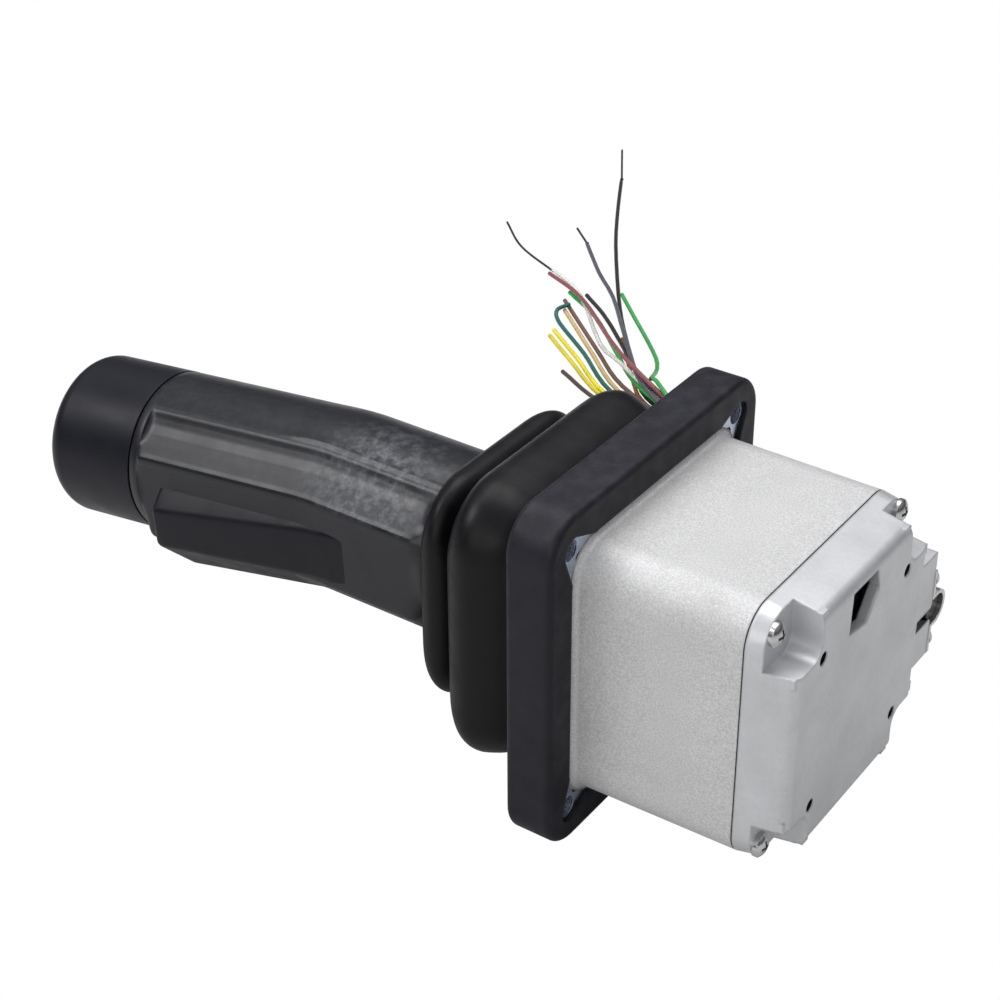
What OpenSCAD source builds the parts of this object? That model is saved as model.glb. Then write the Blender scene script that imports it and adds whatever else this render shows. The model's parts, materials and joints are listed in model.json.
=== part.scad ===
// Industrial joystick for a control panel.
// A two-axis lever in a cast housing, with a rubber boot, a bent grip and a trigger.
// Everything is drawn upright, with the lever along +Z and the mounting face at
// z = 0, and lay() then turns it on its side: the lever points to -X and the part
// lies on the lower edge of its boot frame.

/* [Mounting flange] */
// Distance between the centres of the flange holes
hole_pitch = 70; // [69:0.5:76]
// Diameter of the tapped flange holes (M6 before the thread)
flange_hole_d = 5; // [4:0.1:5.4]
// Distance from a flange hole to the edge of the plate
plate_margin = 3.5; // [3.2:0.1:5]
// Thickness of the mounting plate
plate_t = 2.5; // [2:0.1:4]

/* [Housing] */
// Width of the cast housing
housing_w = 67; // [64:0.5:67.5]
// Depth of the housing below the mounting face
housing_depth = 41; // [40:0.5:50]
// Radius of the upright corners
corner_r = 9; // [8:0.5:10]
// Wall of the housing
wall = 3; // [2.5:0.1:3.4]
// Thickness of the deck under the mounting plate
deck_t = 3.5; // [3:0.1:4]

/* [Cover] */
// Height of the cover from its gasket to its raised face
cover_h = 11.6; // [10.5:0.1:13]
// Thickness of the cover gasket
gasket_t = 0.3; // [0.3:0.1:1]
// Distance between the centres of the cover screws
cover_screw_pitch = 56.5; // [54.5:0.5:57]
// Height of the screw seats above the gasket
seat_h = 4; // [3.5:0.1:5]
// Distance between the small tapped holes in the raised face
cover_hole_pitch = 39.5; // [30:0.5:42]
// Diameter of the small tapped holes (M4 before the thread)
cover_hole_d = 3.3; // [2.8:0.1:4]

/* [Boot] */
// How far the boot frame stands out around the mounting plate
frame_margin = 5.5; // [4.5:0.1:7]
// Height of the boot frame above the mounting face
frame_h = 11; // [10:0.1:12.5]
// How far the frame's sealing rim stands behind the mounting face
rim_h = 1; // [0.4:0.1:1.5]
// Half width of the lower fold at its crest
fold_low_half = 37; // [35.5:0.1:39]
// Half width of the upper fold at its crest
fold_high_half = 30; // [28.5:0.1:31.5]
// Wall of the bellows
boot_wall = 2; // [1.5:0.1:2.2]

/* [Lever and gimbal] */
// Height of the two tilt axes above the cover gasket
pivot_above = 25; // [24.4:0.1:25.5]
// Diameter of the lever shaft
shaft_d = 12; // [9:0.5:13]
// Diameter of the gimbal pins
pin_d = 6; // [4:0.5:7]
// Radial running clearance of the pins
running_gap = 0.04; // [0.02:0.01:0.08]
// Height of the gimbal ring
ring_h = 11; // [10:0.5:12]

/* [Grip] */
// Diameter of the grip
grip_d = 42.4; // [40:0.2:44]
// Height of the bend above the mounting face
bend_z = 88; // [85:0.5:92]
// Angle of the upper half of the grip to the lever
bend_deg = 6; // [0:0.5:9]
// Direction of the trigger around the lever, 0 is towards +Z of the laid part
grip_turn = 225; // [180:5:270]
// Length of the grip body above the bend
body_len = 55; // [52:0.5:58]
// Length of the end cap
cap_len = 28.5; // [24:0.5:34]

/* [Trigger] */
// Half width of the trigger
trigger_half = 16; // [14:0.2:16.2]
// Travel of the trigger in degrees
trigger_travel = 4; // [2:0.5:4]

/* [Hidden] */

$fn = 72;

// Clearances that seat one piece in another
seat_gap = 0.05;        // a screw or a bush in its hole
fit_gap = 0.3;          // a loose piece beside its neighbour
move_gap = 0.6;         // a moving piece beside a fixed one

// Mounting plate
hole_at = hole_pitch / 2;
plate_half = hole_at + plate_margin;
deck_hole_r = 16.5;     // the lever swings in this hole
plate_screw_d = 4;
plate_screw_at = 15;
frame_r = 10;
frame_edge_r = 1.6;
peg_d = 3;
peg_at = hole_at - 3.6; // rubber pegs of the boot frame
ear_r = 3.4;            // bare corner of the plate round each flange hole
ear_at = 25.5;

// Housing and cover
housing_half = housing_w / 2;
inner_half = housing_half - wall;
inner_r = corner_r - wall;
draft = 0.5;
flare = 1.8;
gasket_z = -housing_depth;
cover_z = gasket_z - gasket_t;
face_z = cover_z - cover_h;
cover_screw_at = cover_screw_pitch / 2;
cover_screw_d = 3;
pan_head_d = 5.8;
pan_head_h = 2.3;
cover_draft = 1.6;
cover_edge_r = 3.2;
cover_wall = 2.6;
cover_screw_in = 8;     // thread length in the housing
notch_at = cover_screw_at - 7.8;
notch_r = 4;
seat_block = 16;        // block under each screw seat
boss_r = 5;             // round posts behind the cover screws
cover_boss_r = 3.6;     // bosses behind the small tapped holes
cover_boss_h = 7.6;

// Window in the raised face
window = [[housing_half - 4.7, -7.5], [housing_half - 4.7, 4], [23.5, 5.5], [17, 0.5], [18.5, -8]];

// Cable outlet on the far side of the cover
cable_d = 7;
saddle_t = 1;
saddle_w = 5.5;
saddle_screw_at = 8.4;
saddle_screw_in = 6;
outlet_x = 0.2;
outlet_half = 14.2;
outlet_out = 4.5;         // how far the outlet stands out of the cover
outlet_h = cover_h - 0.6;
outlet_y = housing_half + outlet_out;
outlet_hole_d = 6;
saddle_z = cover_z - 8.4;
cable_x = -2.5;
cable_y = outlet_y + 2.7;

// Gimbal
pivot_depth = housing_depth - pivot_above;
pivot_z = -pivot_depth;
ring_half = inner_half - 14;
ring_bore_r = ring_half - 4;
post_at = ring_half + 2.7;
post_t = 5;
post_w = 15;
bush_r = pin_d / 2 + 1.5;
hub_r = ring_bore_r - 1.5;
sensor_x_t = 5;
sensor_tab = 18;
sensor_y_t = 4.5;
sensor_y_h = 8;

// Centring
cup_t = 2;
cup_r = ring_bore_r;
cup_plate_z = gasket_z + 5.7;
cup_top = pivot_z - 12.3;
cup_arm_w = 10;
cup_screw_at = cover_screw_at - 6.25;
cup_screw_in = 6;
cup_half = inner_half - 4;
swing_r = pivot_z - cup_plate_z - cup_t - fit_gap; // tip of the plunger from the pivot
stub_to = swing_r - 4;  // end of the shaft below the pivot
post_r = 3.5;
screw3_d = 3;

// Circuit board
board_half = cover_screw_at - 4.25;
board_t = 1.6;
spacer_h = 2.6;
board_z = cup_plate_z - spacer_h - board_t;
board_screw_at = board_half - 7.5;
terminal_h = board_z - face_z - cover_wall - 1.6;

// Grip
grip_r = grip_d / 2;
bend_lap = 1.5;         // both halves run on past the bend
upper_draw = 0.1;       // the upper half is drawn in by this much
grip_base_z = 48;
insert_z = 51;
insert_d = 20;
insert_h = 6.5;
shaft_top = insert_z + insert_h + 1;
shaft_bore_r = 2.3;
hollow_u = -7.5;        // the upper half of the grip is hollow behind the pocket
hollow_r = 9.5;
nose_front = grip_r + 3;
nose_half = grip_r - 0.5;
nose_root = grip_r - 1.2;
lip_u = 8.5;
nose_flat = 5;
nose_to = body_len - 2.7;
heel_z = 52;
heel_slope = 3;
pocket_half = trigger_half + 1;
pocket_u = 5.8;
pocket_from = -21;
pocket_to = nose_to - 5;
cap_edge_r = 5;
cap_wall = 2.6;
spigot_r = grip_r - 4.5;
spigot_h = 4;

// Trigger
trigger_from = pocket_from + move_gap;
trigger_to = pocket_to - 1.7;
trigger_pin_s = pocket_from + 5.3;
trigger_pin_u = 8.3;
trigger_pin_d = 3;
trigger_pin_half = pocket_half + 1.3;
trigger_bend_s = 0;
trigger_low = 7.5;      // back of the trigger at the bend and at its upper end
trigger_high = 10.9;
trigger_spring_s = trigger_to - 12;
switch_s = trigger_pin_s + 18;
switch_len = 20;
switch_half = 3.2;
switch_u = pocket_u;
switch_h = 10;
plunger_r = 1.3;

// Boot: height, half width and corner radius of each ring of the outer skin
boot_low = [[plate_t, 33, 9], [frame_h, 33, 9], [frame_h + 2.5, 32.2, 10],
    [frame_h + 6, 33, 11.5], [21, fold_low_half - 2, 13], [24, fold_low_half - 0.6, 14.5],
    [27.5, fold_low_half, 15], [30.5, fold_low_half - 0.6, 15], [33, fold_low_half - 2.4, 15.5],
    [35, fold_low_half - 5, 16], [36.3, fold_low_half - 8.4, 16], [36.7, fold_low_half - 11, 16]];
boot_high = [[36.9, fold_low_half - 11, 16], [37.7, fold_high_half - 3.2, 15],
    [39.2, fold_high_half - 1.1, 14.5], [42, fold_high_half, 14.5], [44.3, fold_high_half - 0.8, 15],
    [46.2, fold_high_half - 2.8, 16.5], [47.4, fold_high_half - 4.8, 18.5],
    [48, grip_r + boot_wall + 0.1, grip_r + boot_wall + 0.1],
    [50.5, grip_r + boot_wall + 0.1, grip_r + boot_wall + 0.1]];

// Free cable: the jacket and its cores lie on the table beside the part
floor_x = -(plate_half + frame_margin);
core_d = 1.4;
core_z = floor_x + core_d / 2;
jacket_route = [[51.4, 40.7, -2.5], [43, 40.7, -2.5], [36, 42.3, -4], [29, 47, -9.3], [21, 55.5, -18],
    [11, 67, -28], [-3, 81, -36.5], [-20, 97, -40.5], [-38, 112, -40.5], [-55, 125.5, -40.5], [-70, 135, -40.5]];

// Turns the upright part on its side
module lay() rotate([0, -90, 0]) children();

// Moves a piece to the pivot point of the lever
module at_pivot() translate([0, 0, pivot_z]) children();

// Moves a piece to the bent upper half of the grip: x is forward, z along the grip
module on_grip() rotate([0, 0, grip_turn]) translate([0, 0, bend_z])
    rotate([0, bend_deg, 0]) children();

module at_corners(d) for (x = [-d, d], y = [-d, d]) translate([x, y, 0]) children();

// Rounded square block: its profile is turned round the corners and drawn along the sides
module pad(half, r, z0, z1) {
    c = half - r;
    for (a = [0 : 90 : 270]) rotate([0, 0, a]) {
        translate([c, c, 0]) rotate_extrude(angle = 90) children();
        translate([c, c, 0]) rotate([90, 0, 0]) linear_extrude(2 * c) children();
    }
    translate([-c, -c, z0]) cube([2 * c, 2 * c, z1 - z0]);
}

module plain_pad(half, r, z0, z1) pad(half, r, z0, z1)
    translate([0, z0]) square([r, z1 - z0]);

module screw(d, len, head_d, head_h) {
    translate([0, 0, -len]) cylinder(d = d - 2 * seat_gap, h = len);
    rotate_extrude() intersection() {
        square([head_d / 2, head_h]);
        translate([0, head_h - head_d * 0.68]) circle(r = head_d * 0.68);
    }
}

module pan_screw(d, len) difference() {
    screw(d, len, pan_head_d, pan_head_h);
    translate([0, 0, pan_head_h]) cube([3.2, 0.7, 2.4], center = true);
    translate([0, 0, pan_head_h]) cube([0.7, 3.2, 2.4], center = true);
}

module housing_profile() difference() {
    union() {
        polygon([[0, -housing_depth], [corner_r - draft, -housing_depth], [corner_r, 0], [0, 0]]);
        translate([0, -flare]) square([corner_r + flare, flare]);
    }
    translate([corner_r + flare, -flare]) circle(r = flare);
}

module housing() lay() color("silver") difference() {
    union() {
        difference() {
            pad(housing_half, corner_r, -housing_depth, 0) housing_profile();
            plain_pad(inner_half, inner_r, -housing_depth - 1, -deck_t);
        }
        // posts that carry the gimbal pins
        for (s = [-1, 1]) translate([s * (post_at + post_t / 2), 0, 0]) {
            translate([-post_t / 2, -post_w / 2, pivot_z]) cube([post_t, post_w, pivot_depth - deck_t + 1]);
            translate([0, 0, pivot_z]) rotate([0, 90, 0])
                cylinder(d = post_w, h = post_t, center = true);
        }
        // posts that carry the centring cup
        at_corners(cup_screw_at) translate([0, 0, cup_plate_z + cup_t])
            cylinder(r = post_r, h = -cup_plate_z - cup_t - deck_t + 1);
        // corner posts for the cover screws
        intersection() {
            at_corners(cover_screw_at) translate([0, 0, -housing_depth])
                cylinder(r = boss_r, h = housing_depth - deck_t + 1);
            plain_pad(inner_half + 1, inner_r + 1, -housing_depth, 0);
        }
    }
    translate([0, 0, -deck_t - 1]) cylinder(r = deck_hole_r, h = deck_t + 2);
    at_pivot() rotate([0, 90, 0]) cylinder(r = bush_r, h = 2 * post_at + 4 * post_t, center = true);
    at_corners(cover_screw_at) translate([0, 0, -housing_depth - 1])
        cylinder(d = cover_screw_d, h = cover_screw_in + 3);
    at_corners(cup_screw_at) translate([0, 0, cup_plate_z])
        cylinder(d = screw3_d, h = cup_t + cup_screw_in);
    at_corners(plate_screw_at) translate([0, 0, -deck_t - 1])
        cylinder(d = plate_screw_d, h = deck_t + 2);
}

module mounting_plate() lay() color("lightsteelblue") difference() {
    plain_pad(plate_half, plate_margin, 0, plate_t);
    translate([0, 0, -1]) cylinder(r = deck_hole_r, h = plate_t + 2);
    at_corners(hole_at) translate([0, 0, -1]) cylinder(d = flange_hole_d, h = plate_t + 2);
    at_corners(peg_at) translate([0, 0, -1]) cylinder(d = peg_d + 2 * seat_gap, h = plate_t + 2);
    at_corners(plate_screw_at) translate([0, 0, -1]) cylinder(d = plate_screw_d, h = plate_t + 2);
}

module plate_screws() lay() color("dimgray")
    at_corners(plate_screw_at) translate([0, 0, plate_t])
        pan_screw(plate_screw_d, plate_t + deck_t + 1);

module frame_profile() {
    translate([0, -rim_h]) square([frame_r - frame_edge_r, rim_h + frame_h]);
    translate([0, frame_edge_r - rim_h]) square([frame_r, rim_h + frame_h - 2 * frame_edge_r]);
    for (z = [frame_edge_r - rim_h, frame_h - frame_edge_r])
        translate([frame_r - frame_edge_r, z]) circle(r = frame_edge_r);
}

module boot_frame() lay() color("#24242c") {
    difference() {
        pad(plate_half + frame_margin, frame_r, -rim_h, frame_h) frame_profile();
        plain_pad(housing_half + flare + fit_gap, corner_r + flare + fit_gap, -rim_h - 1, 0);
        for (a = [0 : 90 : 270]) rotate([0, 0, a]) translate([0, 0, -rim_h - 1])
            linear_extrude(rim_h + 1.5) hull() {
                translate([hole_at, hole_at]) circle(r = ear_r);
                polygon([[ear_at, ear_at], [hole_at, ear_at], [ear_at, hole_at]]);
            }
        plain_pad(plate_half + seat_gap, plate_margin, 0, plate_t);
        plain_pad(33.4, 9.4, 0, frame_h + 1);
    }
    at_corners(peg_at) translate([0, 0, 0.3]) cylinder(d = peg_d, h = plate_t);
}

// Points of one ring of the boot
ring_steps = 12;
function ring(half, r, z) = [for (q = [0 : 3], i = [0 : ring_steps])
    let (a = 90 * q + 90 * i / ring_steps, c = half - r, m = 45 + 90 * q)
    [c * sqrt(2) * cos(m) + r * cos(a), c * sqrt(2) * sin(m) + r * sin(a), z]];
ring_n = 4 * (ring_steps + 1);

// Closed skin between an outer and an inner stack of rings
module skin(rings, t) {
    n = len(rings);
    outer = [for (s = rings) each ring(s[1], s[2], s[0])];
    inner = [for (i = [n - 1 : -1 : 0]) let (s = rings[i])
        each ring(s[1] - t, min(s[2] - t * 0.6, s[1] - t), s[0])];
    points = concat(outer, inner);
    rows = 2 * n;
    faces = [for (k = [0 : rows - 1], j = [0 : ring_n - 1])
        let (a = k * ring_n + j, b = k * ring_n + (j + 1) % ring_n,
            c = ((k + 1) % rows) * ring_n + (j + 1) % ring_n, d = ((k + 1) % rows) * ring_n + j)
        [d, c, b, a]];
    polyhedron(points, faces);
}

module boot_lower() lay() color("#18181c") skin(boot_low, boot_wall);

module boot_upper() lay() color("#18181c") skin(boot_high, boot_wall);

module cover_gasket() lay() color("black") difference() {
    plain_pad(housing_half - draft, corner_r - draft, cover_z, gasket_z);
    plain_pad(inner_half, inner_r, cover_z - 1, gasket_z + 1);
    at_corners(cover_screw_at) translate([0, 0, cover_z - 1]) cylinder(d = cover_screw_d + 1, h = 3);
}

module cover_profile(r) {
    polygon([[0, 0], [r, 0], [r - cover_draft, cover_h - cover_edge_r], [0, cover_h - cover_edge_r]]);
    translate([0, cover_h - cover_edge_r - 1]) square([r - cover_draft - cover_edge_r, cover_edge_r + 1]);
    translate([r - cover_draft - cover_edge_r, cover_h - cover_edge_r]) circle(r = cover_edge_r);
}

// The cover is drawn from its gasket face upwards and then turned over
module cover_side() translate([0, 0, cover_z]) mirror([0, 0, 1]) children();

module cover() lay() color("#c2c5cc") difference() {
    union() {
        difference() {
            union() {
                cover_side() pad(housing_half - draft, corner_r - draft, 0, cover_h)
                    cover_profile(corner_r - draft);
                cover_side() translate([outlet_x - outlet_half, 20, 0])
                    cube([2 * outlet_half, outlet_y - 20, outlet_h]);
            }
            cover_side() plain_pad(inner_half, inner_r, -1, cover_h - cover_wall);
        }
        // corner seats under the screws
        cover_side() intersection() {
            at_corners(cover_screw_at) notch_block(seat_h, 2);
            plain_pad(housing_half - draft - 1, corner_r - draft - 1, 0, seat_h);
        }
        // walls between the notches and the inside
        cover_side() intersection() {
            at_notches() notch(cover_wall, 0, cover_h - 0.01);
            plain_pad(inner_half + 0.5, inner_r + 0.5, 0, cover_h - 0.6);
        }
        // bosses behind the small tapped holes
        cover_side() at_corners(cover_hole_pitch / 2) translate([0, 0, cover_h - cover_boss_h])
            cylinder(r = cover_boss_r, h = cover_boss_h - 0.5);
        // block that the cable leaves through
        cover_side() translate([outlet_x - outlet_half, inner_half - 3, 0])
            cube([2 * outlet_half, wall + 3, outlet_h]);
    }
    cover_side() at_notches() notch(0, seat_h, cover_h + 1);
    at_corners(cover_screw_at) translate([0, 0, face_z - 1]) cylinder(d = cover_screw_d + 0.4, h = cover_h + 3);
    at_corners(cover_hole_pitch / 2) translate([0, 0, face_z - 1])
        cylinder(d = cover_hole_d, h = cover_boss_h + 2);
    translate([0, 0, face_z - 1]) linear_extrude(cover_wall + 2) polygon(window);
    // groove under the cable and the hole its cores go in by
    translate([cable_x, cable_y, face_z - 1]) cylinder(d = cable_d + 2 * seat_gap, h = cover_h + 3);
    translate([cable_x, inner_half - 6, saddle_z]) rotate([-90, 0, 0]) cylinder(d = outlet_hole_d, h = 20);
    for (s = [-1, 1]) translate([cable_x + s * saddle_screw_at, outlet_y + 1, saddle_z])
        rotate([90, 0, 0]) cylinder(d = screw3_d, h = saddle_screw_in + 2);
}

module at_notches() for (a = [0 : 90 : 270]) rotate([0, 0, a]) children();

// Square cut with one round inner corner, grown by g
module notch(g, z0, z1) translate([notch_at - g, notch_at - g, z0]) {
    translate([notch_r, 0, 0]) cube([20, 20, z1 - z0]);
    translate([0, notch_r, 0]) cube([20, 20, z1 - z0]);
    translate([notch_r, notch_r, 0]) cylinder(r = notch_r, h = z1 - z0);
}

module notch_block(h, g) translate([-seat_block / 2 - g, -seat_block / 2 - g, 0])
    cube([seat_block + 2 * g, seat_block + 2 * g, h]);

module cover_screws() lay() color("gainsboro")
    at_corners(cover_screw_at) translate([0, 0, cover_z - seat_h]) mirror([0, 0, 1])
        pan_screw(cover_screw_d, seat_h + gasket_t + cover_screw_in);

// Steel strap over the cable
module cable_saddle() lay() color("gainsboro") difference() {
    translate([0, 0, saddle_z - saddle_w / 2]) linear_extrude(saddle_w) difference() {
        union() {
            translate([cable_x, cable_y]) circle(r = cable_d / 2 + seat_gap + saddle_t);
            translate([cable_x - cable_d / 2 - seat_gap - saddle_t, outlet_y])
                square([cable_d + 2 * seat_gap + 2 * saddle_t, cable_y - outlet_y]);
            translate([cable_x - saddle_screw_at - 3, outlet_y])
                square([2 * saddle_screw_at + 6, saddle_t]);
        }
        translate([cable_x, cable_y]) circle(r = cable_d / 2 + seat_gap);
        translate([cable_x - cable_d / 2 - seat_gap, outlet_y - 10])
            square([cable_d + 2 * seat_gap, 10 + cable_y - outlet_y]);
        translate([-30, outlet_y - 20]) square([60, 20]);
    }
    for (s = [-1, 1]) translate([cable_x + s * saddle_screw_at, outlet_y - 1, saddle_z]) rotate([-90, 0, 0])
        cylinder(d = screw3_d + 0.3, h = saddle_t + 2);
}

module saddle_screws() lay() color("gainsboro")
    for (s = [-1, 1]) translate([cable_x + s * saddle_screw_at, outlet_y + saddle_t, saddle_z])
        rotate([-90, 0, 0]) pan_screw(screw3_d, saddle_t + saddle_screw_in);

module centring_cup() lay() color("#303034") difference() {
    translate([0, 0, cup_plate_z]) {
        translate([-cup_half, -cup_arm_w / 2, 0]) cube([2 * cup_half, cup_arm_w, cup_t]);
        for (a = [45, 135]) rotate([0, 0, a])
            translate([-cup_screw_at * sqrt(2) - 3.5, 1 - cup_arm_w / 2, 0])
                cube([2 * cup_screw_at * sqrt(2) + 7, cup_arm_w - 2, cup_t]);
        cylinder(r = cup_r, h = cup_top - cup_plate_z);
    }
    at_pivot() sphere(r = swing_r + fit_gap);
    at_corners(cup_screw_at) translate([0, 0, cup_plate_z - 1]) cylinder(d = screw3_d + 0.3, h = cup_t + 2);
}

module cup_screws() lay() color("gainsboro")
    at_corners(cup_screw_at) translate([0, 0, cup_plate_z]) mirror([0, 0, 1])
        pan_screw(screw3_d, cup_t + cup_screw_in);

module circuit_board() lay() color("darkgreen") difference() {
    translate([-board_half, -board_half, board_z]) cube([2 * board_half, 2 * board_half, board_t]);
    at_corners(board_screw_at) translate([0, 0, board_z - 1]) cylinder(d = screw3_d, h = board_t + 2);
}

// Screw terminals that show through the window
module board_terminals() lay() color("lightgray") {
    for (i = [0 : 2]) translate([19 + 0.8 * i, -6 + 4.2 * i, board_z - terminal_h]) {
        difference() {
            translate([-2.6, -1.8, 0]) cube([5.2, 3.6, terminal_h]);
            translate([-0.4, -2, -0.1]) cube([0.8, 4, 0.9]);
        }
    }
}

// Spacers between the board and the centring cup
module board_spacers() lay() color("ivory")
    at_corners(board_screw_at) translate([0, 0, board_z + board_t]) difference() {
        cylinder(d = 5.5, h = spacer_h);
        translate([0, 0, -1]) cylinder(d = screw3_d, h = spacer_h + 2);
    }

module bearing_bushes() lay() color("#b08d57") at_pivot()
    for (s = [-1, 1]) translate([s * (post_at + post_t / 2), 0, 0]) rotate([0, 90, 0]) difference() {
        cylinder(r = bush_r - seat_gap / 2, h = post_t, center = true);
        cylinder(r = pin_d / 2 + running_gap, h = post_t + 2, center = true);
    }

// Rotary sensor on the end of one gimbal pin
module sensor_x() lay() color("#35506b") at_pivot()
    translate([post_at + post_t, 0, 0]) rotate([0, 90, 0]) difference() {
        union() {
            cylinder(r = 7, h = sensor_x_t);
            translate([-3, -sensor_tab / 2, 0]) cube([6, sensor_tab, 1.5]);
        }
        translate([0, 0, -1]) cylinder(r = pin_d / 2 + running_gap, h = sensor_x_t);
    }

module gimbal_ring() lay() color("#8d9096") at_pivot() difference() {
    plain_pad(ring_half, 5, -ring_h / 2, ring_h / 2);
    cylinder(r = ring_bore_r, h = ring_h + 2, center = true);
    rotate([0, 90, 0]) cylinder(d = pin_d, h = 3 * ring_half, center = true);
    rotate([90, 0, 0]) cylinder(r = bush_r, h = 3 * ring_half, center = true);
}

module gimbal_pins() lay() color("gainsboro") at_pivot()
    for (s = [-1, 1]) rotate([0, s * 90, 0]) translate([0, 0, ring_bore_r + 0.3])
        cylinder(r = pin_d / 2 - seat_gap / 2, h = post_at + post_t - ring_bore_r + (s > 0 ? 3 : -0.3));

module lever_bushes() lay() color("#b08d57") at_pivot()
    for (s = [-1, 1]) rotate([s * 90, 0, 0]) translate([0, 0, ring_bore_r + 0.4]) difference() {
        cylinder(r = bush_r - seat_gap / 2, h = ring_half - ring_bore_r - 0.4);
        translate([0, 0, -1]) cylinder(r = pin_d / 2 + running_gap, h = ring_half);
    }

// Rotary sensor that rides on the gimbal ring
module sensor_y() lay() color("#35506b") at_pivot() difference() {
    translate([-7, ring_half, -sensor_y_h / 2]) cube([14, sensor_y_t, sensor_y_h]);
    translate([0, ring_half - 1, 0]) rotate([-90, 0, 0]) cylinder(r = pin_d / 2 + running_gap, h = 3.8);
}

module lever_shaft() lay() color("gainsboro") difference() {
    union() {
        at_pivot() sphere(r = hub_r);
        translate([0, 0, pivot_z]) cylinder(d = shaft_d, h = shaft_top - pivot_z);
        at_pivot() translate([0, 0, -stub_to]) cylinder(d = 8, h = stub_to);
    }
    at_pivot() rotate([90, 0, 0]) cylinder(d = pin_d, h = 60, center = true);
    at_pivot() translate([0, 0, -stub_to - 1]) cylinder(d = 3.2, h = stub_to - 4);
    translate([0, 0, pivot_z + pin_d]) cylinder(r = shaft_bore_r, h = 100);
}

module lever_pin() lay() color("gainsboro") at_pivot() rotate([-90, 0, 0])
    translate([0, 0, -ring_half - 0.2]) cylinder(r = pin_d / 2 - seat_gap / 2, h = 2 * ring_half + 2.4);

// Plunger under the lever, pressed into the cup by its spring
module centring_plunger() lay() color("#d8d8d0") at_pivot() {
    intersection() {
        translate([0, 0, -swing_r - 1]) cylinder(d = 12, h = 3.4);
        sphere(r = swing_r);
    }
    translate([0, 0, 2.3 - swing_r]) cylinder(d = 3, h = 8.5);
}

// Helical spring of round wire
coil_steps = 14;
coil_sides = 6;
function coil_point(r, wire, pitch, i, j) =
    let (a = 360 * i / coil_steps, b = 360 * j / coil_sides, d = r + wire / 2 * cos(b))
    [d * cos(a), d * sin(a), pitch * i / coil_steps + wire / 2 * sin(b)];
module coil(r, wire, pitch, turns) {
    n = turns * coil_steps;
    points = [for (i = [0 : n], j = [0 : coil_sides - 1]) coil_point(r, wire, pitch, i, j)];
    sides = [for (i = [0 : n - 1], j = [0 : coil_sides - 1])
        let (k = (j + 1) % coil_sides)
        [i * coil_sides + j, i * coil_sides + k, (i + 1) * coil_sides + k, (i + 1) * coil_sides + j]];
    polyhedron(points, concat(sides, [[for (j = [coil_sides - 1 : -1 : 0]) j],
        [for (j = [0 : coil_sides - 1]) n * coil_sides + j]]));
}

module centring_spring() lay() color("gainsboro") at_pivot()
    translate([0, 0, 3.1 - swing_r]) coil(5, 1, (swing_r - 13.8) / 2, 2);

// Threaded insert moulded into the grip
module grip_insert() lay() color("#b08d57") translate([0, 0, insert_z]) difference() {
    cylinder(d = insert_d, h = insert_h, $fn = 6);
    translate([0, 0, -1]) cylinder(d = shaft_d + 2 * seat_gap, h = insert_h + 2);
}

// Section of the grip with the nose that holds the trigger: lip, bevel and flat front
module nose_section(less = 0)
    polygon([[0, -nose_root], [lip_u, -nose_half + less], [nose_front - less, -nose_flat],
        [nose_front - less, nose_flat], [lip_u, nose_half - less], [0, nose_root]]);

module grip_body() lay() color("#26262c") difference() {
    union() {
        rotate([0, 0, grip_turn]) {
            translate([0, 0, grip_base_z]) cylinder(r = grip_r, h = bend_z + bend_lap - grip_base_z);
            translate([0, 0, heel_z + heel_slope])
                linear_extrude(bend_z + bend_lap - heel_z - heel_slope) nose_section();
            hull() for (i = [0, 1]) translate([0, 0, heel_z + i * heel_slope])
                linear_extrude(0.1) nose_section((1 - i) * heel_slope);
        }
        on_grip() translate([0, 0, -bend_lap]) {
            cylinder(r = grip_r - upper_draw, h = body_len + bend_lap);
            linear_extrude(nose_to + bend_lap) nose_section();
        }
    }
    on_grip() {
        translate([pocket_u, -pocket_half, pocket_from])
            cube([40, 2 * pocket_half, pocket_to - pocket_from]);
        translate([switch_u - switch_h - seat_gap, -switch_half - seat_gap, switch_s - switch_len / 2 - seat_gap])
            cube([20, 2 * switch_half + 2 * seat_gap, switch_len + 2 * seat_gap]);
        translate([hollow_u, 0, 14]) cylinder(r = hollow_r, h = body_len);
        translate([0, 0, body_len - spigot_h]) cylinder(r = spigot_r + seat_gap, h = spigot_h + 1);
        translate([trigger_pin_u, 0, trigger_pin_s]) rotate([90, 0, 0])
            cylinder(d = trigger_pin_d + 2 * seat_gap, h = 2 * trigger_pin_half + 0.4, center = true);
        translate([pocket_u - 2.4, 0, trigger_spring_s]) rotate([0, 90, 0]) cylinder(r = 3.4, h = 10);
    }
    translate([0, 0, grip_base_z - 1]) cylinder(d = shaft_d + 2 * seat_gap, h = shaft_top + 1 - grip_base_z);
    translate([0, 0, insert_z]) cylinder(d = insert_d, h = insert_h, $fn = 6);
    cylinder(r = shaft_bore_r, h = bend_z - 9);
}

module grip_cap() lay() color("#1e1e26") on_grip() translate([0, 0, body_len]) rotate_extrude() difference() {
    union() {
        translate([0, 0.25]) square([grip_r, cap_len - 0.25 - cap_edge_r]);
        square([grip_r - cap_edge_r, cap_len]);
        translate([grip_r - cap_edge_r, cap_len - cap_edge_r]) circle(r = cap_edge_r);
        translate([0, -spigot_h + seat_gap]) square([spigot_r, spigot_h]);
    }
    translate([-30, -10]) square([30, 60]);
    translate([0, -10]) square([spigot_r - 2, 10 + cap_len - cap_wall - 3]);
    translate([0, -10]) square([spigot_r - 5, 10 + cap_len - cap_wall]);
}

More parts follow.
